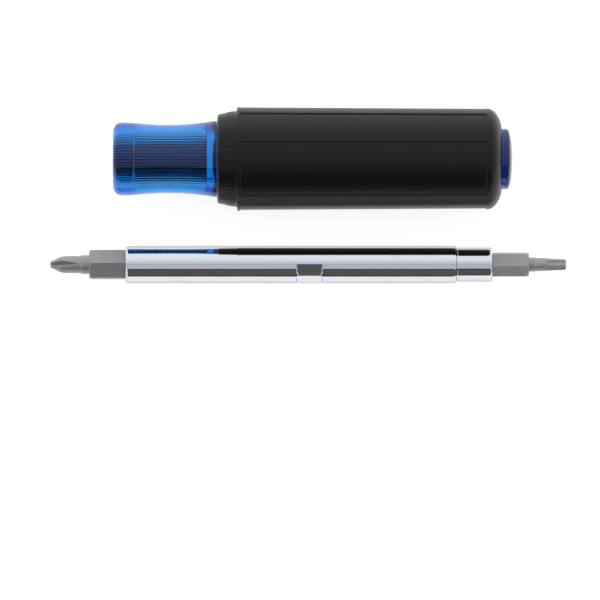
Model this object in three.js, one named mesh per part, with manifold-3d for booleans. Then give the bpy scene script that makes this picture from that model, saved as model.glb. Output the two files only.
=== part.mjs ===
// A full-size multi-bit screwdriver, taken apart for a bit change: the handle lies on its side and its
// reversible shaft lies beside it with a double-ended bit in each end.
// Units are millimetres. X runs from the handle's nose (-X) to its butt (+X), +Z is up and Z = 0 is the
// surface that the pieces lie on. The origin is the middle of the footprint.
import * as THREE from 'three';
import { mergeVertices } from 'three/addons/utils/BufferGeometryUtils.js';
import Module from 'manifold-3d';

const wasm = await Module();
wasm.setup();

// ---- driving dimensions ----
const HANDLE_Y = 9.7;            // axis of the handle
const SHAFT_Y = -19.1;           // axis of the shaft lying beside it
const SHAFT_ROLL = 10;           // degrees that the shaft has rolled, from +Z towards -Y
const LARGE_ROLL = -5.5;         // the large hexagon's corner from the shaft's own top, the same way
const SMALL_ROLL = 7.6;          // the small hexagon's corner from the shaft's own top
const GRIP_RADIUS = 14.75;
const TUBE_RADIUS = 5.35;

const NOSE_X = -55.4;            // open face of the nose
const GRIP_FRONT_X = -25.8;      // where the rubber starts
const COLLAR_END_X = -20.2;      // step from the conical collar to the grip
const BUTT_X = 55.7;             // end face of the rubber
const CAP_X = 58.0;              // top of the blue end cap
const SPINE_RADIUS = 9.6;        // plastic core inside the rubber
const SOCKET_RADIUS = 5.6;       // bore that takes the shaft
const SOCKET_END_X = 34;
const GRIP_END_RADIUS = 14.35;   // the grip thins slightly towards its butt
const PANEL_DEPTH = 0.25;
const RIDGE_ANGLES = [2, 67, 144, 220.5, 297.5];    // middles of the raised ridges, from +Z towards -Y
const RIDGE_WIDTH = 21;          // degrees
const PANEL_X = [-19.2, 51.1];   // the sunk panels between the ridges run between these

const CAVITY_X = [-49.6, -28.5]; // hollow in the nose around the drive sleeve
const CAVITY_RADIUS = 6.7;
const MOUTH_RADIUS = 6.2;        // the nose's bore in front of that hollow
const SLEEVE_RADIUS = 6.5;       // steel drive sleeve, with a thinner neck that lines the mouth
const NECK_X = -54;              // front end of the neck
const NECK_RADIUS = 6.05;
const WINDOW_X = [-50.3, -49.3]; // two windows through the sleeve, where the neck starts
const CLIP_X = [-42.5, -35.5];   // spring clip in a groove inside the drive sleeve
const CLIP_RADIUS = 6.05;

const TUBE_X = [-51.85, 42.1];
const CRIMP_X = [-3.4, 4.2];     // flats pressed into the middle of the tube
const CRIMP_ANGLES = [18.8, 56.4, 198.8, 236.4];    // their normals, before the shaft's roll
const CRIMP_REACH = 5.07;        // from the shaft axis to a flat
const SMALL_SOCKET_RADIUS = 4.88;
const SMALL_SOCKET_END_X = 52.4;
const LINER_RADIUS = 4.15;       // the part of the small socket inside the tube

const LARGE_HEX = 7.94;          // 5/16 in across flats
const SMALL_HEX = 6.35;          // 1/4 in across flats
const BORE_PLAY = 0.16;          // hexagonal bore over hexagonal bit
const LARGE_BIT = { tip: -73.3, hexOut: -62.25, hexIn: -14.75, end: -3.7, hex: LARGE_HEX };
const SMALL_BIT = { tip: 73.4, hexOut: 62.8, hexIn: 15.4, end: 4.6, hex: SMALL_HEX };
const LARGE_BALL = { x: -38.5, radius: 1.2, hole: 1.4, depth: 2.6, wire: 0.17, coil: 0.95, turns: 6 };
const SMALL_BALL = { x: 39.1, radius: 0.9, hole: 1.08, depth: 1.8, wire: 0.14, coil: 0.72, turns: 5 };

const FINE = 64;                 // sides on the large turned pieces
const MEDIUM = 40;               // sides on bores
const COARSE = 28;

// ---- materials ----
const matte = (color, roughness) => new THREE.MeshStandardMaterial({ color, roughness, metalness: 0 });
const metal = (color, roughness) => new THREE.MeshStandardMaterial({ color, roughness, metalness: 1 });
const bluePlastic = matte(0x1268c8, 0.15);
const blackRubber = matte(0x1c1c1e, 0.45);
const chrome = metal(0xe2e4e8, 0.08);
const toolSteel = metal(0x8b8b88, 0.42);
const springSteel = metal(0xa9abae, 0.3);

// ---- solids ----
function solid(geometry) {
  const bare = geometry.index ? geometry.toNonIndexed() : geometry.clone();
  bare.deleteAttribute('normal');
  bare.deleteAttribute('uv');
  const merged = mergeVertices(bare, 1e-4);
  return new wasm.Manifold(new wasm.Mesh({
    numProp: 3,
    vertProperties: new Float32Array(merged.attributes.position.array),
    triVerts: new Uint32Array(merged.index.array),
  }));
}

function geometryOf(manifold) {
  const mesh = manifold.getMesh();
  const geometry = new THREE.BufferGeometry();
  geometry.setAttribute('position', new THREE.BufferAttribute(mesh.vertProperties, 3));
  geometry.setIndex(new THREE.BufferAttribute(mesh.triVerts, 1));
  return geometry;
}

// A profile of [x, radius] points turned about the X axis.
function turned(profile, sides = FINE) {
  const points = profile.map(([x, radius]) => new THREE.Vector2(radius, x));
  return solid(new THREE.LatheGeometry(points, sides).rotateZ(-Math.PI / 2));
}

// A round bar along X between two stations; both ends may differ in radius.
function bar(x0, x1, radius, sides = COARSE, endRadius = radius) {
  return turned([[x0, 0], [x0, radius], [x1, endRadius], [x1, 0]], sides);
}

// A hexagonal bar along X with a corner at +Z.
function hexBar(x0, x1, acrossFlats) {
  const corner = acrossFlats / Math.sqrt(3);
  const prism = new THREE.CylinderGeometry(corner, corner, x1 - x0, 6);
  return solid(prism.rotateZ(-Math.PI / 2).translate((x0 + x1) / 2, 0, 0));
}

// A flat shape drawn in (-Y, Z) and carried along X.
function extrudedAlongX(shape, x0, x1, curveSegments = 12) {
  const geometry = new THREE.ExtrudeGeometry(shape, {
    depth: x1 - x0, bevelEnabled: false, curveSegments,
  });
  const carry = new THREE.Matrix4().makeBasis(
    new THREE.Vector3(0, -1, 0), new THREE.Vector3(0, 0, 1), new THREE.Vector3(-1, 0, 0),
  );
  return solid(geometry.applyMatrix4(carry).translate(x1, 0, 0));
}

// A box given by its size, turned by an angle from +Z towards -Y and pushed out along that direction.
function tiltedBox(x0, x1, width, height, angle, reach) {
  const box = new THREE.BoxGeometry(x1 - x0, width, height);
  box.translate((x0 + x1) / 2, 0, reach + height / 2);
  return solid(box.rotateX(THREE.MathUtils.degToRad(angle)));
}

// A round pocket along +Y with its floor at y0.
function pocket(x, y0, y1, radius) {
  return solid(new THREE.CylinderGeometry(radius, radius, y1 - y0, 24).translate(x, (y0 + y1) / 2, 0));
}

function ball(x, y, radius, segments = 12) {
  return solid(new THREE.SphereGeometry(radius, segments, segments / 2).translate(x, y, 0));
}

const subtractAll = (from, cutters) => cutters.reduce((rest, cutter) => rest.subtract(cutter), from);
const addAll = (parts) => parts.reduce((sum, part) => sum.add(part));

// ---- handle ----
// The blue core: a waisted nose, a shoulder under the rubber's front edge and a plain spine to the butt.
function handleCore() {
  const outside = turned([
    [NOSE_X, 0], [NOSE_X, 8.6], [NOSE_X + 0.5, 9.6], [NOSE_X + 1.7, 10.4],
    [NOSE_X + 5, 10.35], [NOSE_X + 8.5, 9.95], [NOSE_X + 13, 9.68], [NOSE_X + 18, 9.68],
    [NOSE_X + 22.5, 9.9], [NOSE_X + 26, 10.4], [GRIP_FRONT_X - 0.15, 10.95],
    [GRIP_FRONT_X - 0.15, 10.3], [GRIP_FRONT_X + 2, 10.3], [GRIP_FRONT_X + 2, SPINE_RADIUS],
    [BUTT_X - 5, SPINE_RADIUS], [BUTT_X - 5, 0],
  ]);
  return subtractAll(outside, [
    turned([[NOSE_X - 1, 0], [NOSE_X - 1, 7.4], [NOSE_X + 1, MOUTH_RADIUS], [CAVITY_X[0], MOUTH_RADIUS],
      [CAVITY_X[0], CAVITY_RADIUS], [CAVITY_X[1], CAVITY_RADIUS], [CAVITY_X[1], SOCKET_RADIUS],
      [SOCKET_END_X, SOCKET_RADIUS], [SOCKET_END_X + 3, 2], [SOCKET_END_X + 3, 0]], MEDIUM),
    bar(BUTT_X - 12, BUTT_X - 4, 4.2),
  ]);
}

// The grip's turned outline, with its long middle stretch sunk by the given depth.
function gripOutline(sink) {
  const [start, stop] = PANEL_X;
  const radiusAt = (x) => THREE.MathUtils.mapLinear(x, start, stop - 1.6, GRIP_RADIUS, GRIP_END_RADIUS);
  const roundButt = Array.from({ length: 8 }, (_, i) => {
    const a = (i / 7) * Math.PI / 2;
    return [stop - 1.5 + 6 * Math.sin(a), GRIP_END_RADIUS - 7.4 * (1 - Math.cos(a))];
  });
  return turned([
    [GRIP_FRONT_X, 0], [GRIP_FRONT_X, 12], [GRIP_FRONT_X + 0.6, 12.7], [COLLAR_END_X, 13.7],
    [COLLAR_END_X, 14.5], [COLLAR_END_X + 0.4, GRIP_RADIUS],
    [start, radiusAt(start)], [start + 0.01, radiusAt(start) - sink],
    [stop - 1.61, radiusAt(stop - 1.6) - sink], [stop - 1.6, GRIP_END_RADIUS],
    ...roundButt, [BUTT_X, 0],
  ], 72);
}

// A wedge around one ridge, from the axis out past the grip.
function ridgeWedge(angle) {
  const [start, stop] = [angle + RIDGE_WIDTH / 2, angle - RIDGE_WIDTH / 2]
    .map((edge) => THREE.MathUtils.degToRad(90 - edge));
  const wedge = new THREE.Shape();
  wedge.moveTo(0, 0);
  wedge.absarc(0, 0, GRIP_RADIUS + 1, start, stop, false);
  wedge.closePath();
  return extrudedAlongX(wedge, PANEL_X[0] - 0.5, PANEL_X[1], 3);
}

// The rubber grip: sunk panels between raised ridges, bored to fit over the core.
function gripSleeve() {
  const ridges = addAll(RIDGE_ANGLES.map(ridgeWedge)).intersect(gripOutline(0));
  return subtractAll(gripOutline(PANEL_DEPTH).add(ridges), [
    bar(GRIP_FRONT_X - 1, GRIP_FRONT_X + 2.3, 10.6, MEDIUM),
    bar(GRIP_FRONT_X + 2, BUTT_X + 1, SPINE_RADIUS + 0.25, MEDIUM),
  ]);
}

// The end cap: a low dome that closes the core's rear bore with a stub.
function endCap() {
  const dome = turned([
    [BUTT_X - 4.7, 0], [BUTT_X - 4.7, 8.7], [BUTT_X + 0.4, 8.7], [BUTT_X + 1.1, 8.3],
    [CAP_X - 0.5, 5.6], [CAP_X - 0.1, 3.2], [CAP_X, 2.6], [CAP_X, 0],
  ]);
  return dome.add(bar(BUTT_X - 9, BUTT_X - 4, 3.9));
}

// The drive sleeve: a steel tube with a thinner neck, a window above and below where the neck starts,
// and a wide groove inside for the clip.
function driveSleeve() {
  const [left, right] = [CAVITY_X[0] + 0.1, CAVITY_X[1] - 0.1];
  const outside = turned([
    [NECK_X, 0], [NECK_X, NECK_RADIUS], [left, NECK_RADIUS], [left, SLEEVE_RADIUS],
    [right, SLEEVE_RADIUS], [right, 0],
  ], MEDIUM);
  return subtractAll(outside, [
    bar(NECK_X - 1, right + 1, SOCKET_RADIUS, MEDIUM),
    bar(CLIP_X[0] - 0.3, CLIP_X[1] + 0.3, CLIP_RADIUS + 0.1, MEDIUM),
    tiltedBox(WINDOW_X[0], WINDOW_X[1], 11, 8, 0, 0),
    tiltedBox(WINDOW_X[0], WINDOW_X[1], 11, 8, 180, 0),
  ]);
}

// The clip: a split spring ring whose bore has the same four flats as the tube's crimp.
function shaftClip() {
  const ring = bar(CLIP_X[0], CLIP_X[1], CLIP_RADIUS, MEDIUM);
  const opened = ring.subtract(bar(CLIP_X[0] - 1, CLIP_X[1] + 1, SOCKET_RADIUS, MEDIUM));
  const pads = CRIMP_ANGLES.map((angle) => tiltedBox(CLIP_X[0], CLIP_X[1], 3.2, 0.7, angle, 5.2));
  const slot = tiltedBox(CLIP_X[0] - 1, CLIP_X[1] + 1, 2.4, 4, 127, 4);
  return addAll([opened, ...pads]).subtract(slot);
}

// ---- shaft ----
function shaftTube() {
  const [left, right] = TUBE_X;
  const outside = turned([
    [left, 0], [left, 4.85], [left + 0.55, TUBE_RADIUS], [right - 0.25, TUBE_RADIUS],
    [right, TUBE_RADIUS - 0.25], [right, 0],
  ]);
  return subtractAll(outside, [
    hexBar(left - 1, CRIMP_X[0], LARGE_HEX + BORE_PLAY).rotate([LARGE_ROLL, 0, 0]),
    bar(CRIMP_X[0] - 1, CRIMP_X[1] + 1, 2.6),
    bar(CRIMP_X[1], right + 1, LINER_RADIUS),
    pocket(LARGE_BALL.x, 0, LARGE_HEX / 2 + 0.65, LARGE_BALL.hole - 0.3).rotate([LARGE_ROLL, 0, 0]),
    ...CRIMP_ANGLES.map((angle) => tiltedBox(CRIMP_X[0], CRIMP_X[1], 6, 2, angle, CRIMP_REACH)),
  ]);
}

function smallSocket() {
  const shoulder = TUBE_X[1] + 0.02;
  const outside = turned([
    [CRIMP_X[1] + 0.05, 0], [CRIMP_X[1] + 0.05, LINER_RADIUS - 0.04], [shoulder, LINER_RADIUS - 0.04],
    [shoulder, SMALL_SOCKET_RADIUS], [SMALL_SOCKET_END_X - 0.6, SMALL_SOCKET_RADIUS],
    [SMALL_SOCKET_END_X, 4.4], [SMALL_SOCKET_END_X, 0],
  ]);
  return subtractAll(outside, [
    hexBar(CRIMP_X[1] - 1, SMALL_SOCKET_END_X + 1, SMALL_HEX + BORE_PLAY),
    pocket(SMALL_BALL.x, 0, SMALL_HEX / 2 + 0.6, SMALL_BALL.hole - 0.2),
  ]);
}

// ---- bits ----
// A station on a bit, measured from its outer tip towards its inner end.
function along(bit, distance) {
  return bit.tip + Math.sign(bit.end - bit.tip) * distance;
}

function chamferedHex(bit) {
  const corner = bit.hex / Math.sqrt(3);
  const [a, b] = [Math.min(bit.hexOut, bit.hexIn), Math.max(bit.hexOut, bit.hexIn)];
  const faced = bit.hex / 2 - 0.12;
  const ends = turned([
    [a, 0], [a, faced], [a + 0.7, corner + 0.02], [b - 0.7, corner + 0.02], [b, faced], [b, 0],
  ], COARSE);
  return hexBar(a, b, bit.hex).intersect(ends);
}

function ballPocket(bit, detent) {
  return pocket(detent.x, -detent.depth, bit.hex, detent.hole);
}

// A profile of [distance from the tip, radius] points as a turned solid at the bit's outer end.
function tipTurned(bit, profile, sides = 24) {
  const points = profile.map(([distance, radius]) => [along(bit, distance), radius]);
  return turned(bit.end < bit.tip ? points.reverse() : points, sides);
}

// A cross-recess tip: a blunt cone with four grooves that run out along the shank.
function largeBit() {
  const point = tipTurned(LARGE_BIT, [
    [0, 0], [0, 0.85], [2.6, 2.3], [4.3, 2.45], [8.7, 2.45], [8.8, 2.7], [11.2, 2.7], [11.2, 0],
  ]);
  const grooves = [0, 90, 180, 270].map((angle) => {
    const cutter = new THREE.BoxGeometry(9, 3, 3).rotateX(Math.PI / 4);
    cutter.rotateY(THREE.MathUtils.degToRad(14)).translate(LARGE_BIT.tip + 2.2, 0, 3.15);
    return solid(cutter.rotateX(THREE.MathUtils.degToRad(angle)));
  });
  const shank = bar(-15, -8.2, 2.7, 24);
  const blade = solid(new THREE.BoxGeometry(4.7, 4.6, 1.1).translate(-6.05, 0, 0));
  const taper = turned([[-8.3, 0], [-8.3, 2.7], [-6, 1.2], [-6, 0]], 24);
  return addAll([subtractAll(point, grooves), chamferedHex(LARGE_BIT), shank, blade, taper])
    .subtract(ballPocket(LARGE_BIT, LARGE_BALL));
}

// The outline of a six-lobe driver: six round lobes joined by six hollow flanks.
function sixLobeShape(radius) {
  const points = Array.from({ length: 48 }, (_, i) => {
    const angle = (i / 48) * 2 * Math.PI;
    const r = radius * (0.865 + 0.135 * Math.cos(6 * angle));
    return new THREE.Vector2(r * Math.sin(angle), r * Math.cos(angle));
  });
  return new THREE.Shape(points);
}

function smallBit() {
  const neck = addAll([bar(62.5, 64.9, 2.05, 24), bar(64.8, 69.2, 1.93, 24, 1.85)]);
  const star = extrudedAlongX(sixLobeShape(1.76), 67, SMALL_BIT.tip)
    .intersect(turned([[66, 0], [66, 1.9], [72.9, 1.7], [SMALL_BIT.tip, 1.3], [SMALL_BIT.tip, 0]], COARSE));
  const innerShank = bar(9, 15.6, 1.85, 24);
  const innerStar = extrudedAlongX(sixLobeShape(1.37), SMALL_BIT.end, 9.2);
  return addAll([neck, star, chamferedHex(SMALL_BIT), innerShank, innerStar])
    .subtract(ballPocket(SMALL_BIT, SMALL_BALL));
}

function detentBall(bit, detent) {
  return ball(detent.x, bit.hex / 2 - detent.radius - 0.03, detent.radius);
}

// A compression spring on the pocket's axis, from its floor to just under the ball.
function ballSpring(bit, detent) {
  const floor = -detent.depth + detent.wire + 0.05;
  const top = bit.hex / 2 - 2 * detent.radius - detent.wire - 0.12;
  class Helix extends THREE.Curve {
    getPoint(t, target = new THREE.Vector3()) {
      const turn = 2 * Math.PI * detent.turns * t;
      return target.set(
        detent.x + detent.coil * Math.cos(turn), floor + (top - floor) * t, detent.coil * Math.sin(turn),
      );
    }
  }
  const section = new THREE.Shape();
  section.absarc(0, 0, detent.wire, 0, 2 * Math.PI, false);
  const wire = new THREE.ExtrudeGeometry(section, {
    steps: detent.turns * 12, extrudePath: new Helix(), curveSegments: 3, bevelEnabled: false,
  });
  return solid(wire);
}

// ---- scene ----
const group = new THREE.Group();
const handle = new THREE.Group();
const shaft = new THREE.Group();
const largeEnd = new THREE.Group();
const smallEnd = new THREE.Group();
handle.position.set(0, HANDLE_Y, GRIP_RADIUS);
shaft.position.set(0, SHAFT_Y, TUBE_RADIUS);
shaft.rotation.x = THREE.MathUtils.degToRad(SHAFT_ROLL);
largeEnd.rotation.x = THREE.MathUtils.degToRad(LARGE_ROLL);
smallEnd.rotation.x = THREE.MathUtils.degToRad(SMALL_ROLL);
shaft.add(largeEnd, smallEnd);
group.add(handle, shaft);

function addPiece(parent, name, manifold, material) {
  const mesh = new THREE.Mesh(geometryOf(manifold), material);
  mesh.name = name;
  parent.add(mesh);
}

addPiece(handle, 'handle_core', handleCore(), bluePlastic);
addPiece(handle, 'grip_sleeve', gripSleeve(), blackRubber);
addPiece(handle, 'end_cap', endCap(), bluePlastic);
addPiece(handle, 'drive_sleeve', driveSleeve(), toolSteel);
addPiece(handle, 'shaft_clip', shaftClip(), springSteel);
addPiece(shaft, 'shaft_tube', shaftTube(), chrome);
addPiece(smallEnd, 'small_socket', smallSocket(), chrome);
addPiece(largeEnd, 'large_bit', largeBit(), toolSteel);
addPiece(largeEnd, 'large_ball', detentBall(LARGE_BIT, LARGE_BALL), springSteel);
addPiece(largeEnd, 'large_ball_spring', ballSpring(LARGE_BIT, LARGE_BALL), springSteel);
addPiece(smallEnd, 'small_bit', smallBit(), toolSteel);
addPiece(smallEnd, 'small_ball', detentBall(SMALL_BIT, SMALL_BALL), springSteel);
addPiece(smallEnd, 'small_ball_spring', ballSpring(SMALL_BIT, SMALL_BALL), springSteel);

export default group;
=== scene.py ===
import math

import bpy
import numpy as np
from mathutils import Matrix, Vector


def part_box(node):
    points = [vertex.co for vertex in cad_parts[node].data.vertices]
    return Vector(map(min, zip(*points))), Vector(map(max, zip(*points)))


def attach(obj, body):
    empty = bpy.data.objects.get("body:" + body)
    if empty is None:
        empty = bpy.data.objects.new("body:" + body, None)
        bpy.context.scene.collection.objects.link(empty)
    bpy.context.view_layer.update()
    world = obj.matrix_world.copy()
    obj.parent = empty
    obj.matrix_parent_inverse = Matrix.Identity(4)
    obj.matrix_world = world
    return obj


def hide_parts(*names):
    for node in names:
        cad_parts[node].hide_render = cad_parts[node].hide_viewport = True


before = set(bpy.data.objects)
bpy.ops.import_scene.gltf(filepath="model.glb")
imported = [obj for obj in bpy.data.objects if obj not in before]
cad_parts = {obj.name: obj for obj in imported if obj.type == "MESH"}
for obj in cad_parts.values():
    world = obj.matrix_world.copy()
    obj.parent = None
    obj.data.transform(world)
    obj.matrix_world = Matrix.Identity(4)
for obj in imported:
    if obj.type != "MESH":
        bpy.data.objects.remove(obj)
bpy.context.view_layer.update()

MM = 0.001


# ---------------------------------------------------------------------------
# Floor: one wide sheet of white acrylic, lit from below as a product table
# is, so that the pieces lie on plain white with hardly any shadow.

def linear(code):
    """An sRGB colour written as #rrggbb, as linear red, green, blue and alpha 1."""
    parts = [int(code[i:i + 2], 16) / 255 for i in (1, 3, 5)]
    return tuple(p / 12.92 if p <= 0.04045 else ((p + 0.055) / 1.055) ** 2.4 for p in parts) + (1.0,)


def add_node(tree, kind, links=None, **settings):
    """A node of that kind. A setting that names an input sets its value, any other sets the node's own
    property; links maps an input to the socket that feeds it."""
    node = tree.nodes.new(kind)
    for key, value in settings.items():
        if hasattr(node, key):
            setattr(node, key, value)
        else:
            node.inputs[key.replace("_", " ")].default_value = value
    for key, socket in (links or {}).items():
        tree.links.new(socket, node.inputs[key])
    return node


def new_material(name):
    """An empty material with its output and a Principled surface: returns material, tree and surface."""
    material = bpy.data.materials.new(name)
    material.use_nodes = True
    tree = material.node_tree
    tree.nodes.clear()
    output = tree.nodes.new("ShaderNodeOutputMaterial")
    surface = tree.nodes.new("ShaderNodeBsdfPrincipled")
    tree.links.new(surface.outputs["BSDF"], output.inputs["Surface"])
    return material, tree, surface


def grid_mesh(name, points, material, close_profile=False, poles=False, sharp=28):
    """A mesh from points[profile, around]: neighbours are joined into quads, the last column joins the
    first, close_profile joins the last row to the first, and poles closes both end rows with a fan."""
    rows, columns = points.shape[:2]
    row_a = np.arange(rows if close_profile else rows - 1)
    row_b = (row_a + 1) % rows
    col_a = np.arange(columns)
    col_b = (col_a + 1) % columns
    quads = np.stack([
        row_a[:, None] * columns + col_a, row_a[:, None] * columns + col_b,
        row_b[:, None] * columns + col_b, row_b[:, None] * columns + col_a,
    ], axis=-1).reshape(-1, 4)
    vertices = points.reshape(-1, 3)
    faces = quads.tolist()
    if poles:
        first, last = len(vertices), len(vertices) + 1
        ends = np.stack([points[0].mean(axis=0), points[-1].mean(axis=0)])
        vertices = np.concatenate([vertices, ends])
        top = (rows - 1) * columns
        fan_a = np.stack([np.full(columns, first), col_b, col_a], axis=-1)
        fan_b = np.stack([np.full(columns, last), top + col_a, top + col_b], axis=-1)
        faces += fan_a.tolist() + fan_b.tolist()
    corners = vertices[quads]
    middle = vertices.mean(axis=0)
    halves = np.cross(corners[:, 1] - corners[:, 0], corners[:, 2] - corners[:, 0])
    halves = halves + np.cross(corners[:, 2] - corners[:, 0], corners[:, 3] - corners[:, 0])
    if np.einsum("ij,ij->", corners[:, 0] - middle, halves) < 0:
        faces = [face[::-1] for face in faces]
    mesh = bpy.data.meshes.new(name)
    mesh.from_pydata(vertices.tolist(), [], faces)
    mesh.polygons.foreach_set("use_smooth", np.ones(len(mesh.polygons), dtype=bool))
    mesh.set_sharp_from_angle(angle=math.radians(sharp))
    mesh.materials.append(material)
    piece = bpy.data.objects.new(name, mesh)
    bpy.context.scene.collection.objects.link(piece)
    return piece


table_white, tree, surface = new_material("lit_white_acrylic")
cloud = add_node(tree, "ShaderNodeTexNoise", Scale=3.0, Detail=2.0)
sheen = add_node(tree, "ShaderNodeMapRange", {"Value": cloud.outputs["Fac"]}, To_Min=0.55, To_Max=0.6)
tree.links.new(sheen.outputs["Result"], surface.inputs["Roughness"])
surface.inputs["Base Color"].default_value = linear("#b0b0b0")
surface.inputs["Specular IOR Level"].default_value = 0.1
surface.inputs["Emission Color"].default_value = (1.0, 1.0, 1.0, 1.0)
surface.inputs["Emission Strength"].default_value = 0.84
TABLE_HALF = 4.0
table_mesh = bpy.data.meshes.new("table")
table_mesh.from_pydata(
    [(-TABLE_HALF, -TABLE_HALF, 0), (TABLE_HALF, -TABLE_HALF, 0),
     (TABLE_HALF, TABLE_HALF, 0), (-TABLE_HALF, TABLE_HALF, 0)], [], [(0, 1, 2, 3)])
table_mesh.materials.append(table_white)
table = bpy.data.objects.new("table", table_mesh)
bpy.context.scene.collection.objects.link(table)


# ---------------------------------------------------------------------------
# Light and camera: a broad soft source overhead and behind, dimmer in front,
# seen by a long lens that looks almost straight down.

world = bpy.data.worlds.new("soft_studio")
world.use_nodes = True
bpy.context.scene.world = world
tree = world.node_tree
tree.nodes.clear()
direction = add_node(tree, "ShaderNodeTexCoord")
split = add_node(tree, "ShaderNodeSeparateXYZ", {"Vector": direction.outputs["Generated"]})
spread = add_node(tree, "ShaderNodeMapRange", {"Value": split.outputs["Y"]}, From_Min=-1.0, From_Max=1.0)
ramp = add_node(tree, "ShaderNodeValToRGB", {"Fac": spread.outputs["Result"]})
# (direction from front -1 to back +1, colour of the light that comes from there)
SKY = [
    (-1.00, (0.02, 0.02, 0.02)), (-0.985, (0.10, 0.10, 0.10)), (-0.70, (0.11, 0.11, 0.11)),
    (-0.67, (0.01, 0.01, 0.01)), (-0.62, (0.01, 0.01, 0.01)), (-0.60, (0.56, 0.57, 0.59)),
    (-0.22, (0.62, 0.63, 0.66)), (-0.185, (0.30, 0.32, 0.36)), (-0.15, (0.62, 0.66, 0.74)),
    (0.10, (0.72, 0.77, 0.88)), (0.30, (0.92, 0.95, 1.02)), (0.84, (1.05, 1.06, 1.08)),
    (0.92, (1.4, 1.4, 1.4)),
]
stops = ramp.color_ramp.elements
while len(stops) < len(SKY):
    stops.new(0.5)
SKY_PEAK = 1.4
for stop, (height, colour) in zip(stops, SKY):
    stop.position = (height + 1) / 2
    stop.color = tuple(c / SKY_PEAK for c in colour) + (1.0,)
sky = add_node(tree, "ShaderNodeBackground", {"Color": ramp.outputs["Color"]}, Strength=SKY_PEAK)
add_node(tree, "ShaderNodeOutputWorld", {"Surface": sky.outputs["Background"]})
bpy.context.scene.view_settings.view_transform = "Standard"

ELEVATION = math.radians(80)
LENS = 800.0                     # a very long lens keeps the pieces' sides parallel
SENSOR = 36.0
VIEW_WIDTH = 170.4 * MM          # width of the table that the frame holds, at the pieces' mid height
MID_HEIGHT = 9 * MM
AIM = Vector((-2.3, -28.4, 0.0)) * MM
camera_data = bpy.data.cameras.new("camera")
camera_data.lens = LENS
camera_data.sensor_width = SENSOR
camera = bpy.data.objects.new("camera", camera_data)
bpy.context.scene.collection.objects.link(camera)
reach = LENS * VIEW_WIDTH / SENSOR + MID_HEIGHT
back = Vector((0.0, -math.cos(ELEVATION), math.sin(ELEVATION)))
camera.location = AIM + reach * back
camera.rotation_euler = back.to_track_quat("Z", "Y").to_euler()
camera_data.clip_end = 50.0
bpy.context.scene.camera = camera


# ---------------------------------------------------------------------------
# Grip: black thermoplastic rubber moulded over the core. A conical collar
# steps up to a long barrel with five sunk panels, and the butt is rounded.

def smooth_step(value, low, high):
    """0 below low, 1 above high, and a smooth S between."""
    t = np.clip((value - low) / (high - low), 0, 1)
    return t * t * (3 - 2 * t)


def turned(x, radius, centre, angles):
    """Points at stations x and radii radius[station, angle] about an axis along X through centre;
    the angle runs from +Z towards -Y. Lengths in millimetres, points in metres."""
    y = centre[0] - radius * np.sin(angles)
    z = centre[1] + radius * np.cos(angles)
    return np.stack([np.broadcast_to(x, radius.shape), y, z], axis=-1) * MM


def stations(*knots):
    """Profile points through the knots (x, radius, steps to the next knot), evenly spaced between."""
    places = np.concatenate([
        np.linspace(a[:2], b[:2], a[2], endpoint=False) for a, b in zip(knots, knots[1:])
    ] + [np.array([knots[-1][:2]])])
    return places[:, 0], places[:, 1]


grip_low, grip_high = (np.array(corner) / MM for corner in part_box("grip_sleeve"))
cap_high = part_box("end_cap")[1][0] / MM
GRIP_AXIS = tuple((grip_low + grip_high)[1:] / 2)
GRIP_RADIUS = (grip_high - grip_low)[2] / 2
BARREL_START = grip_low[0] + 5.6
PANELS = (BARREL_START + 1.0, grip_high[0] - 4.6)
GRIP_THINNING = 0.4              # radius lost from the collar to the butt
PANEL_SINK = 0.25
RIDGES = np.radians([2, 67, 144, 220.5, 297.5])
RIDGE_HALF = math.radians(10.5)
EDGE_GROOVE = 0.16               # a fine moulding groove along each ridge
EDGE_WIDTH = 0.30
SHALLOW_EDGE = RIDGES[0] + RIDGE_HALF        # this one edge has hardly any groove

edges = np.concatenate([RIDGES - RIDGE_HALF, RIDGES + RIDGE_HALF])
fine = np.linspace(-0.9, 0.9, 15) / GRIP_RADIUS
grip_angles = np.unique(np.round(np.concatenate([
    np.linspace(0, 2 * math.pi, 180, endpoint=False), (edges[:, None] + fine).ravel() % (2 * math.pi),
]), 5))

outline_x, outline_r = stations(
    (grip_low[0] + 2.2, 10.7, 3), (grip_low[0] + 0.12, 10.7, 2), (grip_low[0], 10.9, 5),
    (grip_low[0], 12.1, 1), (grip_low[0] + 0.15, 12.4, 1), (grip_low[0] + 0.5, 12.7, 24),
    (BARREL_START - 0.35, 13.62, 2), (BARREL_START - 0.05, 13.72, 1), (BARREL_START, 13.9, 3),
    (BARREL_START, 14.45, 1), (BARREL_START + 0.12, 14.65, 1), (BARREL_START + 0.4, GRIP_RADIUS, 1),
    (PANELS[0] - 0.3, GRIP_RADIUS, 12), (PANELS[0] + 0.9, GRIP_RADIUS - 0.005, 46),
    (PANELS[1] - 0.9, GRIP_RADIUS - GRIP_THINNING + 0.005, 14),
    (PANELS[1] + 0.3, GRIP_RADIUS - GRIP_THINNING, 1),
)
turn = np.linspace(0, 1.19, 22)[1:]
butt_x = PANELS[1] + 0.3 + (grip_high[0] - PANELS[1] - 0.45) * np.sin(turn) / math.sin(1.25)
butt_r = GRIP_RADIUS - GRIP_THINNING - 7.4 * (1 - np.cos(turn))
inner_x, inner_r = stations((butt_x[-1] + 0.08, 9.15, 1), (butt_x[-1] - 0.1, 8.95, 3), (cap_high - 4, 8.95, 1),
                            (cap_high - 8, 9.85, 12), (grip_low[0] + 2.2, 9.85, 1))
profile_x = np.concatenate([outline_x, butt_x, inner_x])
profile_r = np.concatenate([outline_r, butt_r, inner_r])
is_outer = np.arange(len(profile_x)) < len(outline_x) + len(butt_x)
between = np.abs((grip_angles[None, :] - RIDGES[:, None] + math.pi) % (2 * math.pi) - math.pi).min(axis=0)
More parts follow.
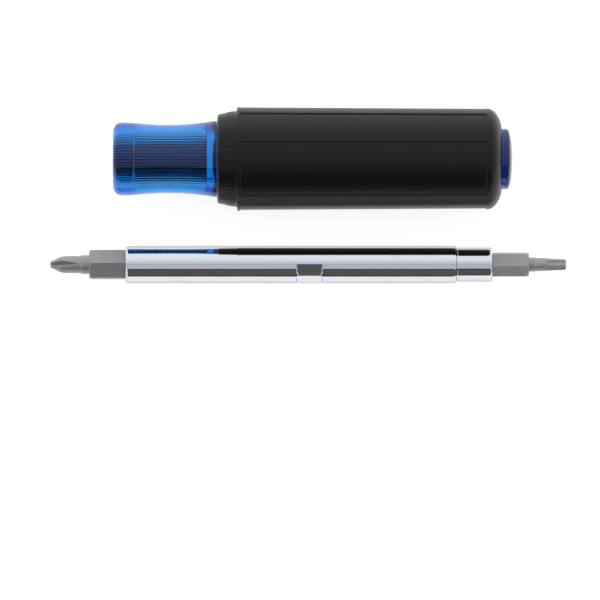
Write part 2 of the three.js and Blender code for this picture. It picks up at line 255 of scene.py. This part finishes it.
arc = (between - RIDGE_HALF) * GRIP_RADIUS           # millimetres past the nearest ridge's edge
along = smooth_step(profile_x, PANELS[0] - 0.15, PANELS[0] + 0.15)
along = along * (1 - smooth_step(profile_x, PANELS[1] - 0.15, PANELS[1] + 0.15)) * is_outer
groove = np.where(np.abs(grip_angles - SHALLOW_EDGE) < 0.1, 0.1 * EDGE_GROOVE, EDGE_GROOVE)
sink = PANEL_SINK * smooth_step(arc, -0.08, 0.08)
sink = sink + groove * np.exp(-((arc - 0.12) / EDGE_WIDTH) ** 2 * 4)
grip_r = profile_r[:, None] - along[:, None] * sink[None, :]

# Raised ticks stand around the collar, each a low rounded bar along the slope.
TICKS = 60
TICK_HEIGHT = 0.09
slope = smooth_step(profile_x, grip_low[0] + 2.3, grip_low[0] + 2.7)
slope = slope * (1 - smooth_step(profile_x, BARREL_START - 1.3, BARREL_START - 0.9)) * is_outer
grip_r = grip_r + slope[:, None] * TICK_HEIGHT * np.clip(np.cos(TICKS * grip_angles), 0, 1)[None, :]

rubber, tree, surface = new_material("black_moulded_rubber")
# Thermoplastic rubber from a spark-eroded mould: a soft satin sheen over a very fine, even grain.
place = add_node(tree, "ShaderNodeTexCoord")
patch = add_node(tree, "ShaderNodeTexNoise", {"Vector": place.outputs["Object"]}, Scale=90.0, Detail=3.0)
tint = add_node(tree, "ShaderNodeMix", {"Factor": patch.outputs["Fac"]}, data_type="RGBA")
tint.inputs["A"].default_value = linear("#0a0a0b")
tint.inputs["B"].default_value = linear("#101011")
tree.links.new(tint.outputs["Result"], surface.inputs["Base Color"])
satin = add_node(tree, "ShaderNodeMapRange", {"Value": patch.outputs["Fac"]}, To_Min=0.30, To_Max=0.38)
tree.links.new(satin.outputs["Result"], surface.inputs["Roughness"])
surface.inputs["Specular IOR Level"].default_value = 0.28
surface.inputs["Specular Tint"].default_value = (1.0, 0.9, 0.9, 1.0)
# The real grain is about 0.05 mm; it is drawn at 0.25 mm so that it shows.
grain = add_node(tree, "ShaderNodeTexNoise", {"Vector": place.outputs["Object"]}, Scale=4000.0, Detail=2.0)
relief = add_node(tree, "ShaderNodeBump", {"Height": grain.outputs["Fac"]}, Strength=0.12, Distance=0.00004)
tree.links.new(relief.outputs["Normal"], surface.inputs["Normal"])

grip = grid_mesh("grip", turned(profile_x[:, None], grip_r, GRIP_AXIS, grip_angles), rubber, close_profile=True)
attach(grip, "handle")
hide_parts("grip_sleeve")


# ---------------------------------------------------------------------------
# Core: the handle's clear blue body, moulded in cellulose acetate. The waisted
# nose has a finely ribbed bore, which holds the steel drive sleeve.

core_low, core_high = (np.array(corner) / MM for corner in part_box("handle_core"))
NOSE = core_low[0]
HOLLOW = (NOSE + 5.8, NOSE + 26.9)
RIBS = 52                        # fine ribs in the bore, and the painted light and dark lines on the sleeve that stand for its splines
RIB_HEIGHT = 0.08
core_angles = np.linspace(0, 2 * math.pi, RIBS * 10, endpoint=False)
nose_x = NOSE + np.array([0, 0.12, 0.5, 1.1, 1.9, 3.2, 5, 8.5, 13, 18, 22.5, 26, 29.45])
nose_r = np.array([8.3, 8.8, 9.55, 10.1, 10.4, 10.42, 10.35, 10.0, 9.74, 9.74, 9.98, 10.4, 10.95])
fine_x = np.concatenate([np.linspace(NOSE, NOSE + 2, 14), np.linspace(NOSE + 2, NOSE + 29.45, 50)[1:]])


def rounded(x, knots_x, knots_r):
    """A smooth radius through the knots: straight interpolation averaged over a 1.2 mm window."""
    shifts = np.linspace(-0.6, 0.6, 13)
    return np.mean([np.interp(x + s, knots_x, knots_r) for s in shifts], axis=0)


fine_r = np.where(fine_x < NOSE + 1.3, np.interp(fine_x, nose_x, nose_r), rounded(fine_x, nose_x, nose_r))
mouth_x, mouth_r = stations((37, 0.6, 2), (34, 5.6, 4), (HOLLOW[1], 5.6, 1), (HOLLOW[1], 6.6, 1),
                            (HOLLOW[1] - 0.2, 6.7, 20), (HOLLOW[0] + 0.2, 6.7, 1), (HOLLOW[0], 6.6, 1),
                            (HOLLOW[0], 6.2, 10), (NOSE + 1.5, 6.2, 1), (NOSE + 1.1, 6.3, 1),
                            (NOSE + 0.12, 6.95, 1), (NOSE, 7.2, 2), (NOSE, 8.2, 1))
spine_x, spine_r = stations((NOSE + 29.5, 10.3, 3), (grip_low[0] + 1.95, 10.3, 1), (grip_low[0] + 2, 9.6, 20),
                            (core_high[0], 9.6, 2), (core_high[0], 4.2, 3), (core_high[0] - 7, 4.2, 1),
                            (core_high[0] - 7, 0.6, 1))
core_x = np.concatenate([mouth_x[:-1], fine_x, spine_x])
core_r = np.concatenate([mouth_r[:-1], fine_r, spine_r])
# Fine ribs stand inwards all round, from just inside the mouth to the bore's inner end.
is_bore = (np.arange(len(core_x)) < len(mouth_x)) & (core_r > 6.15) & (core_r < 6.8)
ribbed = is_bore * smooth_step(core_x, NOSE + 1.3, NOSE + 1.8)
ribbed = ribbed * (1 - smooth_step(core_x, HOLLOW[1] - 0.4, HOLLOW[1]))
wave = 0.5 + 0.5 * np.cos(RIBS * core_angles)
core_radius = core_r[:, None] - ribbed[:, None] * RIB_HEIGHT * wave[None, :]

acetate, tree, surface = new_material("clear_blue_acetate")
# Polished cellulose acetate dyed through: azure where the wall is thin, deep blue where it is thick.
place = add_node(tree, "ShaderNodeTexCoord")
flow = add_node(tree, "ShaderNodeTexNoise", {"Vector": place.outputs["Object"]}, Scale=120.0, Detail=2.0)
gloss = add_node(tree, "ShaderNodeMapRange", {"Value": flow.outputs["Fac"]}, To_Min=0.005, To_Max=0.02)
tree.links.new(gloss.outputs["Result"], surface.inputs["Roughness"])
surface.inputs["Base Color"].default_value = linear("#e8f4ff")
surface.inputs["Transmission Weight"].default_value = 1.0
surface.inputs["IOR"].default_value = 1.46
surface.inputs["Specular IOR Level"].default_value = 0.1
dye = add_node(tree, "ShaderNodeVolumeAbsorption", Color=(0.02, 0.77, 0.94, 1.0), Density=580.0)
output = next(n for n in tree.nodes if n.type == "OUTPUT_MATERIAL")
tree.links.new(dye.outputs["Volume"], output.inputs["Volume"])

core = grid_mesh("core", turned(core_x[:, None], core_radius, GRIP_AXIS, core_angles), acetate,
                 poles=True, sharp=40)
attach(core, "handle")
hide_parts("handle_core")


# ---------------------------------------------------------------------------
# End cap: a low dome of the same plastic dyed much deeper, pressed into the
# butt, with a polished rim that catches the light.

cap_angles = np.linspace(0, 2 * math.pi, 160, endpoint=False)
cap_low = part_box("end_cap")[0][0] / MM
bend = np.linspace(0.12, math.pi / 2, 18)
dome_x = cap_high - 1.55 + 1.55 * np.cos(bend)
dome_r = 8.55 * np.sin(bend) ** 0.8
stub_x, stub_r = stations((cap_low, 0.6, 3), (cap_low, 3.9, 5), (cap_high - 6.9, 3.9, 3), (cap_high - 6.9, 8.6, 5),
                          (cap_high - 1.95, 8.62, 1), (cap_high - 1.7, 8.58, 1))
cap_x = np.concatenate([stub_x, dome_x[::-1]])
cap_r = np.concatenate([stub_r, dome_r[::-1]])
cap_radius = np.broadcast_to(cap_r[:, None], (len(cap_r), len(cap_angles)))
deep_acetate = acetate.copy()
deep_acetate.name = "deep_blue_acetate"
deep_dye = next(n for n in deep_acetate.node_tree.nodes if n.type == "VOLUME_ABSORPTION")
deep_dye.inputs["Density"].default_value = 1200.0
deep_dye.inputs["Color"].default_value = (0.05, 0.78, 0.90, 1.0)
cap = grid_mesh("cap", turned(cap_x[:, None], cap_radius, GRIP_AXIS, cap_angles), deep_acetate, poles=True)
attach(cap, "handle")
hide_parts("end_cap")


# ---------------------------------------------------------------------------
# Drive sleeve and spring parts: a blued steel sleeve is seen through the blue
# nose and holds a spring-steel clip; the bits' balls and springs match it.

def paint(node, material):
    """A CAD node takes this material in place of its own."""
    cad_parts[node].data.materials.clear()
    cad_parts[node].data.materials.append(material)


drawn_steel, tree, surface = new_material("drawn_spring_steel")
# Cold-drawn spring steel: grey, with a fine lengthwise streak from the die.
place = add_node(tree, "ShaderNodeTexCoord")
stretch = add_node(tree, "ShaderNodeMapping", {"Vector": place.outputs["Object"]})
stretch.inputs["Scale"].default_value = (150.0, 3000.0, 3000.0)
streak = add_node(tree, "ShaderNodeTexNoise", {"Vector": stretch.outputs["Vector"]}, Scale=1.0, Detail=3.0)
tint = add_node(tree, "ShaderNodeMix", {"Factor": streak.outputs["Fac"]}, data_type="RGBA")
tint.inputs["A"].default_value = linear("#9c9da0")
tint.inputs["B"].default_value = linear("#c2c3c6")
tree.links.new(tint.outputs["Result"], surface.inputs["Base Color"])
surface.inputs["Metallic"].default_value = 1.0
rub = add_node(tree, "ShaderNodeMapRange", {"Value": streak.outputs["Fac"]}, To_Min=0.22, To_Max=0.38)
tree.links.new(rub.outputs["Result"], surface.inputs["Roughness"])
for sprung in ("shaft_clip", "large_ball", "small_ball", "large_ball_spring", "small_ball_spring"):
    paint(sprung, drawn_steel)

blued_steel_and_painted_spline_shade, tree, surface = new_material("blued_steel_and_painted_spline_shade")
# Steel tempered to a dark blue. Its fine lengthwise splines are not shaped: alternating dark and light lines round
# the axis are painted shade and painted light that stand for them.
place = add_node(tree, "ShaderNodeTexCoord")
sleeve_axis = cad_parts["drive_sleeve"].matrix_world.inverted() @ (Vector((0, *GRIP_AXIS)) * MM)
centred = add_node(tree, "ShaderNodeVectorMath", {0: place.outputs["Object"]}, operation="SUBTRACT")
centred.inputs[1].default_value = sleeve_axis
across = add_node(tree, "ShaderNodeSeparateXYZ", {"Vector": centred.outputs["Vector"]})
angle = add_node(tree, "ShaderNodeMath", {0: across.outputs["Z"], 1: across.outputs["Y"]}, operation="ARCTAN2")
turns = add_node(tree, "ShaderNodeMath", {0: angle.outputs["Value"]}, operation="MULTIPLY")
turns.inputs[1].default_value = RIBS
# Painted light and shade: a sine round the sleeve's axis gives one dark and one light line for each spline.
painted_spline_shade = add_node(tree, "ShaderNodeMath", {0: turns.outputs["Value"]}, operation="SINE")
worn = add_node(tree, "ShaderNodeTexNoise", {"Vector": place.outputs["Object"]}, Scale=250.0, Detail=3.0)
painted_shade_level = add_node(tree, "ShaderNodeMapRange", {"Value": painted_spline_shade.outputs["Value"]}, From_Min=0.0, From_Max=1.0)
tint = add_node(tree, "ShaderNodeMix", {"Factor": painted_shade_level.outputs["Result"]}, data_type="RGBA")
tint.inputs["A"].default_value = linear("#101c36")
tint.inputs["B"].default_value = linear("#44689c")
tree.links.new(tint.outputs["Result"], surface.inputs["Base Color"])
surface.inputs["Metallic"].default_value = 1.0
rub = add_node(tree, "ShaderNodeMapRange", {"Value": worn.outputs["Fac"]}, To_Min=0.3, To_Max=0.4)
tree.links.new(rub.outputs["Result"], surface.inputs["Roughness"])
paint("drive_sleeve", blued_steel_and_painted_spline_shade)


# ---------------------------------------------------------------------------
# Shaft tube: drawn steel tube, polished and chrome plated. A press has left
# two pairs of flats round its middle, and its left mouth is hexagonal inside.

def hexagon(angles, across_flats):
    """Radius of a hexagon with a corner at angle 0: half the flats over the cosine to the nearest flat."""
    to_flat = (angles % (math.pi / 3)) - math.pi / 6
    return across_flats / 2 / np.cos(to_flat)


def ball_dimple(radius, x, angles, centre_x, hole, flat, floor):
    """Puts a round dimple in the bore's flat that faces angle -90: points within the hole's radius of its
    centre, measured on that flat, move to the plane at the floor's distance from the axis."""
    side = np.clip(np.abs((angles + 1.5 * math.pi) % (2 * math.pi) - math.pi), 0, 1.2)
    away = np.hypot(x[:, None] - centre_x, flat * np.tan(side)[None, :])
    return np.where(away < hole, floor / np.cos(side)[None, :], radius)


tube_low, tube_high = (np.array(corner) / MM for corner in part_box("shaft_tube"))
SHAFT_AXIS = tuple((tube_low + tube_high)[1:] / 2)
TUBE_RADIUS = (tube_high - tube_low)[2] / 2
CRIMP = (-3.4, 4.2)
ROLL = math.radians(10)          # the shaft has rolled this far from +Z towards -Y
LARGE_ROLL = math.radians(4.5)   # and the corners of its two hexagons lie at these angles
SMALL_ROLL = math.radians(17.6)
CRIMP_FLATS = np.radians([18.8, 56.4, 198.8, 236.4]) + ROLL
CRIMP_RIDGES = np.radians([37.6, 217.6]) + ROLL
CRIMP_HALF = math.radians(37.6)
CRIMP_DEPTH = 0.38
LARGE_BORE = 8.1                 # across the flats: 5/16 in and its play
LARGE_BALL_X = -38.5             # where the detent ball of the large bit sits
tube_angles = np.linspace(0, 2 * math.pi, 360, endpoint=False) + ROLL
tube_x, tube_r = stations(
    (CRIMP[0], 4.1, 8), (-37, 4.1, 20), (-40, 4.1, 6), (tube_low[0] + 0.3, 4.1, 1),
    (tube_low[0], 4.35, 1), (tube_low[0], 4.8, 1),
    (tube_low[0] + 0.12, 4.98, 2), (tube_low[0] + 0.55, TUBE_RADIUS - 0.03, 1),
    (tube_low[0] + 0.75, TUBE_RADIUS, 30), (CRIMP[0] - 0.9, TUBE_RADIUS, 60), (CRIMP[1] + 0.9, TUBE_RADIUS, 30),
    (tube_high[0] - 0.35, TUBE_RADIUS, 2), (tube_high[0] - 0.08, TUBE_RADIUS - 0.1, 1),
    (tube_high[0], TUBE_RADIUS - 0.25, 2), (tube_high[0], 4.25, 2),
    (CRIMP[1] + 0.02, 4.25, 1), (CRIMP[1], 2.6, 3), (CRIMP[0], 2.6, 1),
)
tube_radius = np.repeat(tube_r[:, None], len(tube_angles), axis=1)
left_bore = (tube_r < 4.4) & (tube_x < -3.3)
tube_radius[left_bore] = hexagon(tube_angles - LARGE_ROLL, LARGE_BORE) + (tube_r[left_bore, None] - 4.1)
dimpled = ball_dimple(tube_radius, tube_x, tube_angles - LARGE_ROLL, LARGE_BALL_X, 1.15, LARGE_BORE / 2, 4.62)
tube_radius = np.where(left_bore[:, None], dimpled, tube_radius)
nearest = np.abs((tube_angles[None, :] - CRIMP_FLATS[:, None] + math.pi) % (2 * math.pi) - math.pi).min(axis=0)
chord = (TUBE_RADIUS - CRIMP_DEPTH) / np.cos(np.clip(nearest, 0, 1.2))
# A pair of flats is longest at its outer edges and pinched in where the two meet.
from_ridge = np.abs((tube_angles[None, :] - CRIMP_RIDGES[:, None] + math.pi) % (2 * math.pi) - math.pi).min(axis=0)
half = (CRIMP[1] - CRIMP[0]) / 2
from_middle = np.abs(tube_x - (CRIMP[0] + CRIMP[1]) / 2)
reach_along = half * (0.85 + 0.15 * np.clip(from_ridge / CRIMP_HALF / 0.35, 0, 1))
pressed = 1 - smooth_step(from_middle[:, None], reach_along[None, :] - 0.3, reach_along[None, :] + 0.05)
pressed = pressed * (1 - smooth_step(from_ridge, CRIMP_HALF - 0.01, CRIMP_HALF + 0.03))[None, :]
outer = (tube_r > 5.2)[:, None]
flat = np.minimum(tube_radius, chord[None, :])
tube_radius = np.where(outer, tube_radius + pressed * (flat - tube_radius), tube_radius)

chrome, tree, surface = new_material("polished_chrome_plate")
# Bright nickel-chrome plate over buffed tube: a clean mirror with the faintest haze from handling.
place = add_node(tree, "ShaderNodeTexCoord")
haze = add_node(tree, "ShaderNodeTexNoise", {"Vector": place.outputs["Object"]}, Scale=160.0, Detail=4.0)
mirror = add_node(tree, "ShaderNodeMapRange", {"Value": haze.outputs["Fac"]}, To_Min=0.025, To_Max=0.085)
tree.links.new(mirror.outputs["Result"], surface.inputs["Roughness"])
tint = add_node(tree, "ShaderNodeMix", {"Factor": haze.outputs["Fac"]}, data_type="RGBA")
tint.inputs["A"].default_value = linear("#d8dade")
tint.inputs["B"].default_value = linear("#e1e3e6")
tree.links.new(tint.outputs["Result"], surface.inputs["Base Color"])
surface.inputs["Metallic"].default_value = 1.0
surface.inputs["Specular Tint"].default_value = (0.64, 0.65, 0.67, 1.0)

tube = grid_mesh("tube", turned(tube_x[:, None], tube_radius, SHAFT_AXIS, tube_angles), chrome,
                 close_profile=True, sharp=22)
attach(tube, "shaft")
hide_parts("shaft_tube")


# ---------------------------------------------------------------------------
# Small socket: a chromed steel sleeve pressed into the tube's right end. Its
# shoulder meets the tube in a fine ring, and its mouth has a smaller hexagon.

socket_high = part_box("small_socket")[1][0] / MM
SMALL_BORE = 6.5                 # across the flats: 1/4 in and its play
SMALL_BALL_X = 39.1              # where the detent ball of the small bit sits
socket_x, socket_r = stations(
    (4.3, 3.3, 8), (37.9, 3.3, 20), (40.3, 3.3, 4), (socket_high - 0.35, 3.3, 1),
    (socket_high, 3.65, 2), (socket_high, 4.35, 2),
    (socket_high - 0.12, 4.6, 3), (socket_high - 0.5, 4.85, 1), (socket_high - 0.7, 4.88, 12),
    (tube_high[0] + 0.5, 4.88, 1), (tube_high[0] + 0.4, 4.8, 2), (tube_high[0] + 0.1, 4.8, 1),
    (tube_high[0] + 0.03, 4.6, 1), (tube_high[0] + 0.02, 4.1, 16), (4.3, 4.1, 1),
)
socket_radius = np.repeat(socket_r[:, None], len(tube_angles), axis=1)
inside = (socket_r < 3.7)
socket_radius[inside] = hexagon(tube_angles - SMALL_ROLL, SMALL_BORE) + (socket_r[inside, None] - 3.3)
dimpled = ball_dimple(socket_radius, socket_x, tube_angles - SMALL_ROLL, SMALL_BALL_X, 0.93, SMALL_BORE / 2, 3.77)
socket_radius = np.where(inside[:, None], dimpled, socket_radius)
small_sleeve = grid_mesh("small_sleeve", turned(socket_x[:, None], socket_radius, SHAFT_AXIS, tube_angles), chrome,
                         close_profile=True)
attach(small_sleeve, "shaft")
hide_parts("small_socket")


# ---------------------------------------------------------------------------
# Large bit: hardened tool steel, hexagonal in the middle, with a cross-recess
# tip outside and a flat blade at its inner end; matt from shot-blasting.

tool_steel, tree, surface = new_material("blasted_tool_steel")
# Shot-blasted and oiled tool steel: an even dark grey with a fine sparkle from the grit.
place = add_node(tree, "ShaderNodeTexCoord")
shade = add_node(tree, "ShaderNodeTexNoise", {"Vector": place.outputs["Object"]}, Scale=500.0, Detail=4.0)
tint = add_node(tree, "ShaderNodeMix", {"Factor": shade.outputs["Fac"]}, data_type="RGBA")
tint.inputs["A"].default_value = linear("#989894")
tint.inputs["B"].default_value = linear("#b0b0ac")
tree.links.new(tint.outputs["Result"], surface.inputs["Base Color"])
surface.inputs["Metallic"].default_value = 0.6
blast = add_node(tree, "ShaderNodeMapRange", {"Value": shade.outputs["Fac"]}, To_Min=0.42, To_Max=0.56)
tree.links.new(blast.outputs["Result"], surface.inputs["Roughness"])
# Grit marks are about 0.05 mm; they are drawn at 0.2 mm so that they show.
grit = add_node(tree, "ShaderNodeTexNoise", {"Vector": place.outputs["Object"]}, Scale=5000.0, Detail=2.0)
relief = add_node(tree, "ShaderNodeBump", {"Height": grit.outputs["Fac"]}, Strength=0.2, Distance=0.00003)
tree.links.new(relief.outputs["Normal"], surface.inputs["Normal"])


BEVEL = 0.7                      # length of the cone that bevels a hexagon's corners


def bit_hexagon(x, low, high, across_flats):
    """The hexagon's radius, limited at both ends by a short cone that bevels its corners."""
    corner = across_flats / math.sqrt(3)
    faced = across_flats / 2 - 0.12
    inward = np.minimum(x - low, high - x)
    limit = faced + (corner + 0.02 - faced) * np.clip(inward / BEVEL, 0, 1)
    return np.minimum(hexagon(bit_angles, across_flats)[None, :], limit[:, None])


def hexagon_stations(low, high):
    """Stations along a hexagon: close together over the bevelled ends, even between."""
    return np.concatenate([np.linspace(low, low + BEVEL, 8), np.linspace(low + BEVEL, high - BEVEL, 120)[1:],
                           np.linspace(high - BEVEL, high, 8)[1:]])


def bore_pocket(bit, x, roll, radius, floor, mouth):
    """Cuts a round hole square to the flat that faces the ball: floor and mouth are measured from the bit's
    axis out towards that flat, so a floor below 0 lies beyond the axis."""
    outward = Vector((0, math.cos(roll), math.sin(roll)))
    middle = Vector((x, *SHAFT_AXIS)) + outward * (floor + mouth) / 2
    bpy.ops.mesh.primitive_cylinder_add(vertices=48, radius=radius * MM, depth=(mouth - floor) * MM)
    drill = bpy.context.object
    turn_out = outward.to_track_quat("Z", "X").to_matrix().to_4x4()
    drill.matrix_world = Matrix.Translation(middle * MM) @ turn_out
    cut = bit.modifiers.new("ball_pocket", "BOOLEAN")
    cut.operation, cut.solver, cut.object = "DIFFERENCE", "EXACT", drill
    graph = bpy.context.evaluated_depsgraph_get()
    bored = bpy.data.meshes.new_from_object(bit.evaluated_get(graph))
    bit.modifiers.clear()
    bit.data = bored
    bpy.data.objects.remove(drill)


bit_angles = np.linspace(0, 2 * math.pi, 240, endpoint=False)
large_low, large_high = (np.array(corner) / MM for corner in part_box("large_bit"))
LARGE_FLATS = 7.94
SHANK_RADIUS = 2.66
TIP = large_low[0]
HEX_LEFT, HEX_RIGHT = TIP + 11.05, TIP + 58.55
tip_x, tip_r = stations((TIP, 0.55, 2), (TIP + 0.1, 0.95, 24), (TIP + 2.9, 2.32, 3), (TIP + 3.7, 2.45, 12),
                        (TIP + 8.6, 2.45, 2), (TIP + 8.8, SHANK_RADIUS, 6), (TIP + 11.0, SHANK_RADIUS, 1))
hex_x = hexagon_stations(HEX_LEFT, HEX_RIGHT)
hex_r = bit_hexagon(hex_x, HEX_LEFT, HEX_RIGHT, LARGE_FLATS)
blade_x = np.linspace(HEX_RIGHT + 0.05, large_high[0], 40)
taper = smooth_step(blade_x, HEX_RIGHT + 4.5, large_high[0] - 1.5)
half_thick = SHANK_RADIUS * (1 - taper) + 0.52 * taper
blade_r = np.minimum(SHANK_RADIUS, half_thick[:, None] / np.maximum(np.abs(np.cos(bit_angles))[None, :], 0.05))
# The cross: four V-shaped grooves, deepest at the tip and running out up the shank.
cross = np.abs((bit_angles + math.pi / 4) % (math.pi / 2) - math.pi / 4)
groove_floor = 0.5 + 0.25 * (tip_x - TIP)
groove_wall = groove_floor[:, None] / np.cos(np.clip(cross + math.pi / 4, 0, 1.5))[None, :]
groove_wall = groove_wall * math.cos(math.pi / 4)
tip_radius = np.minimum(tip_r[:, None], groove_wall)
large_x = np.concatenate([tip_x, hex_x, blade_x])
large_r = np.concatenate([tip_radius, hex_r, blade_r])
large_points = turned(large_x[:, None], large_r, SHAFT_AXIS, bit_angles + LARGE_ROLL)
large_bit = grid_mesh("large_bit_body", large_points, tool_steel, poles=True, sharp=20)
bore_pocket(large_bit, LARGE_BALL_X, LARGE_ROLL, 1.4, -2.6, LARGE_FLATS)
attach(large_bit, "large_bit")
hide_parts("large_bit")


# ---------------------------------------------------------------------------
# Small bit: the same blasted steel on a smaller hexagon, with a six-lobe tip
# outside and a smaller six-lobe tip at its inner end.

def six_lobes(angles, tip_radius):
    """Radius of the six-lobe outline: a circle waved six times round by 13.5 per cent."""
    return tip_radius * (0.865 + 0.135 * np.cos(6 * angles))


small_low, small_high = (np.array(corner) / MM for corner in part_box("small_bit"))
SMALL_FLATS = 6.35
END = small_high[0]
HEX_LEFT, HEX_RIGHT = small_low[0] + 10.8, END - 10.6
hex_x = hexagon_stations(HEX_LEFT, HEX_RIGHT)
hex_r = bit_hexagon(hex_x, HEX_LEFT, HEX_RIGHT, SMALL_FLATS)
inner_x = np.linspace(small_low[0], HEX_LEFT - 0.02, 26)
inner_mix = smooth_step(inner_x, small_low[0] + 3.6, small_low[0] + 5.2)[:, None]
inner_r = six_lobes(bit_angles, 1.37)[None, :] * (1 - inner_mix) + 1.85 * inner_mix
neck_x, neck_r = stations((HEX_RIGHT + 0.02, 2.0, 6), (HEX_RIGHT + 1.85, 2.0, 1), (HEX_RIGHT + 2.05, 1.9, 8),
                          (HEX_RIGHT + 4.6, 1.87, 40), (END - 0.45, 1.66, 1), (END - 0.1, 1.4, 1), (END, 1.15, 1))
# The milled hollows run out into the round shank in curved scoops, so the depth grows with distance.
milled = smooth_step(neck_x, HEX_RIGHT + 4.3, HEX_RIGHT + 6.4)[:, None]
hollow = 0.5 - 0.5 * np.cos(6 * bit_angles)
neck_radius = neck_r[:, None] * (1 - 0.27 * np.clip(milled * 1.6 - 0.6 * (1 - hollow), 0, 1) * hollow[None, :])
small_x = np.concatenate([inner_x, hex_x, neck_x])
small_r = np.concatenate([inner_r, hex_r, neck_radius])
small_points = turned(small_x[:, None], small_r, SHAFT_AXIS, bit_angles + SMALL_ROLL)
small_bit = grid_mesh("small_bit_body", small_points, tool_steel, poles=True, sharp=20)
bore_pocket(small_bit, SMALL_BALL_X, SMALL_ROLL, 1.08, -1.8, SMALL_FLATS)
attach(small_bit, "small_bit")
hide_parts("small_bit")
